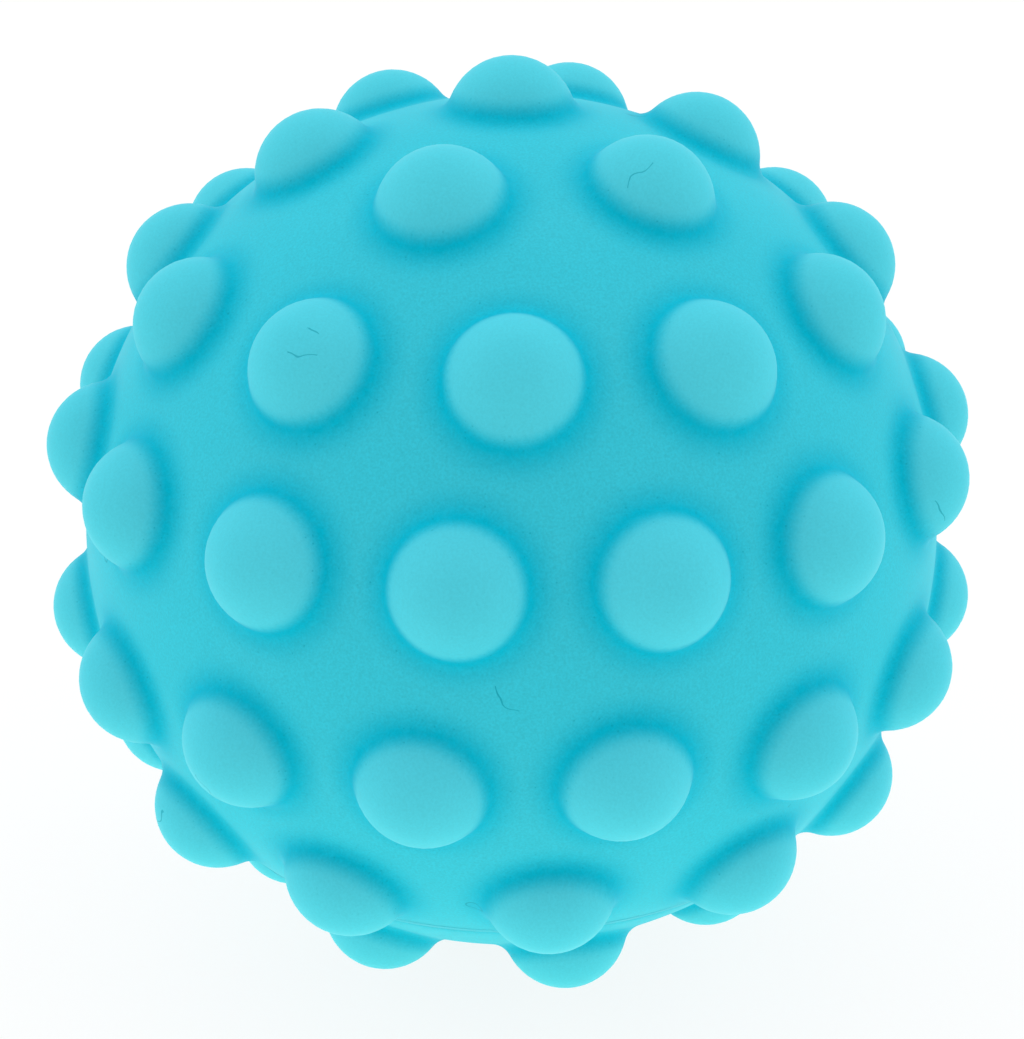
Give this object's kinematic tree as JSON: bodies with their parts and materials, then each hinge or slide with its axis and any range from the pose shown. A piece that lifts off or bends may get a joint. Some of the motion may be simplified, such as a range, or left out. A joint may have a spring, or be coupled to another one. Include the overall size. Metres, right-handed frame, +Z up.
{
  "type": "sensory ball",
  "caption": "Soft hollow ball for a baby with round nubs all over its skin, two mouldings bonded at a lap, and a reed squeaker pressed in at the bottom.",
  "frame": {"origin": "centre of the footprint, on the surface that the ball's lowest nubs rest on", "axes": "+Z up through the nub at the top, which is the axis that the rings of nubs go round; the picture looks along +Y from above"},
  "size_m": [0.0879, 0.088, 0.0878],
  "materials": {
    "skin": "matte turquoise, faintly powdery",
    "bead": "matte turquoise, cured cement",
    "barrel_plastic": "natural white, moulded",
    "block_plastic": "pale grey, moulded",
    "reed_brass": "rolled strip"
  },
  "bodies": {
    "ball": {"upper_shell": "skin", "base_shell": "skin", "seam_bead": "bead", "squeaker_barrel": "barrel_plastic", "squeaker_cap": "barrel_plastic", "reed_block": "block_plastic", "reed_wedge": "block_plastic"},
    "reed": {"reed": "reed_brass"}
  },
  "joints": [
    {"name": "reed_bend", "type": "hinge", "parent": "ball", "child": "reed", "pos_m": [0.00013, 0, 0.00668], "axis": [0, 1, 0], "range_deg": [-2.5, 1.5], "stiffness_Nm_per_rad": 0.02}
  ]
}
